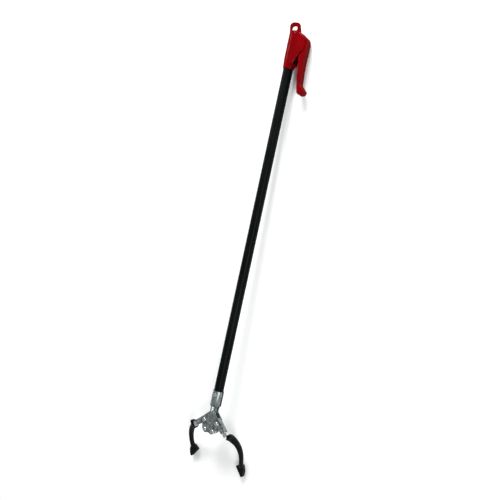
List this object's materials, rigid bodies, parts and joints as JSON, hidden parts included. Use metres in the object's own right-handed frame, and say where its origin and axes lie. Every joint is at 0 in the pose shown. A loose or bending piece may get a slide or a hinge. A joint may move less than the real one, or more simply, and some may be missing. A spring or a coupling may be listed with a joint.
{
  "type": "reacher grabber",
  "caption": "Long-handled reacher: squeezing the lever pulls a rod in the tube and closes two rubber fingers; hang hole in the handle.",
  "frame": {"origin": "where the hang hole's axis crosses the tube's centre line", "axes": "+X along the tube from the handle to the fingers, +Y towards the lever, +Z out of the front face, along the hang hole and every hinge"},
  "size_m": [0.9315, 0.1382, 0.0764],
  "materials": {
    "red_plastic": "glossy moulded plastic",
    "black_tube": "satin black coating",
    "dark_steel": "zinc plated pressed sheet",
    "plain_steel": "plain turned steel",
    "bright_rivet": "bright plated",
    "spring_steel": "drawn wire",
    "dark_screw": "blackened steel",
    "white_nylon": "natural nylon",
    "black_rubber": "dipped rubber"
  },
  "bodies": {
    "frame": {"handle_shell_front": "red_plastic", "handle_shell_back": "red_plastic", "handle_screws": "dark_screw", "tube_retaining_pin": "plain_steel", "trigger_pivot_pin": "plain_steel", "shaft_tube": "black_tube", "rear_rod_guide": "white_nylon", "front_rod_guide": "white_nylon", "return_spring": "spring_steel", "head_plate_front": "dark_steel", "head_plate_back": "dark_steel", "pivot_rivet_left": "bright_rivet", "pivot_rivet_right": "bright_rivet", "lower_rivets": "bright_rivet", "lower_spacers": "plain_steel", "pivot_spacers": "plain_steel", "pivot_washers": "white_nylon", "saddle_rivets": "bright_rivet"},
    "trigger": {"trigger_lever": "red_plastic", "trigger_link_pin": "plain_steel"},
    "rod": {"rod_eye": "plain_steel", "pull_rod": "plain_steel", "rod_collar": "plain_steel", "crosshead": "plain_steel", "crosshead_guide_pin": "bright_rivet", "jaw_drive_pins": "plain_steel"},
    "jaw_left": {"jaw_arm_left": "dark_steel", "finger_core_left": "plain_steel", "finger_grip_left": "black_rubber"},
    "jaw_right": {"jaw_arm_right": "dark_steel", "finger_core_right": "plain_steel", "finger_grip_right": "black_rubber"}
  },
  "joints": [
    {"name": "trigger_squeeze", "type": "hinge", "parent": "frame", "child": "trigger", "pos_m": [0.0295, 0.0175, 0], "axis": [0, 0, -1], "range_deg": [0, 13.5], "stiffness_Nm_per_rad": 0.5},
    {"name": "rod_pull", "type": "slide", "parent": "frame", "child": "rod", "axis": [-1, 0, 0], "range_m": [0, 0.00424], "deforming": ["return_spring"]},
    {"name": "jaw_close_left", "type": "hinge", "parent": "frame", "child": "jaw_left", "pos_m": [0.8125, -0.015, 0], "axis": [0, 0, 1], "range_deg": [0, 30.65]},
    {"name": "jaw_close_right", "type": "hinge", "parent": "frame", "child": "jaw_right", "pos_m": [0.8125, 0.015, 0], "axis": [0, 0, -1], "range_deg": [0, 30.65]}
  ],
  "couplings": [
    {"joint": "rod_pull", "follows": "trigger_squeeze", "m_per_rad": 0.017581},
    {"joint": "jaw_close_left", "follows": "trigger_squeeze", "ratio": 2.2667},
    {"joint": "jaw_close_right", "follows": "trigger_squeeze", "ratio": 2.2667}
  ]
}
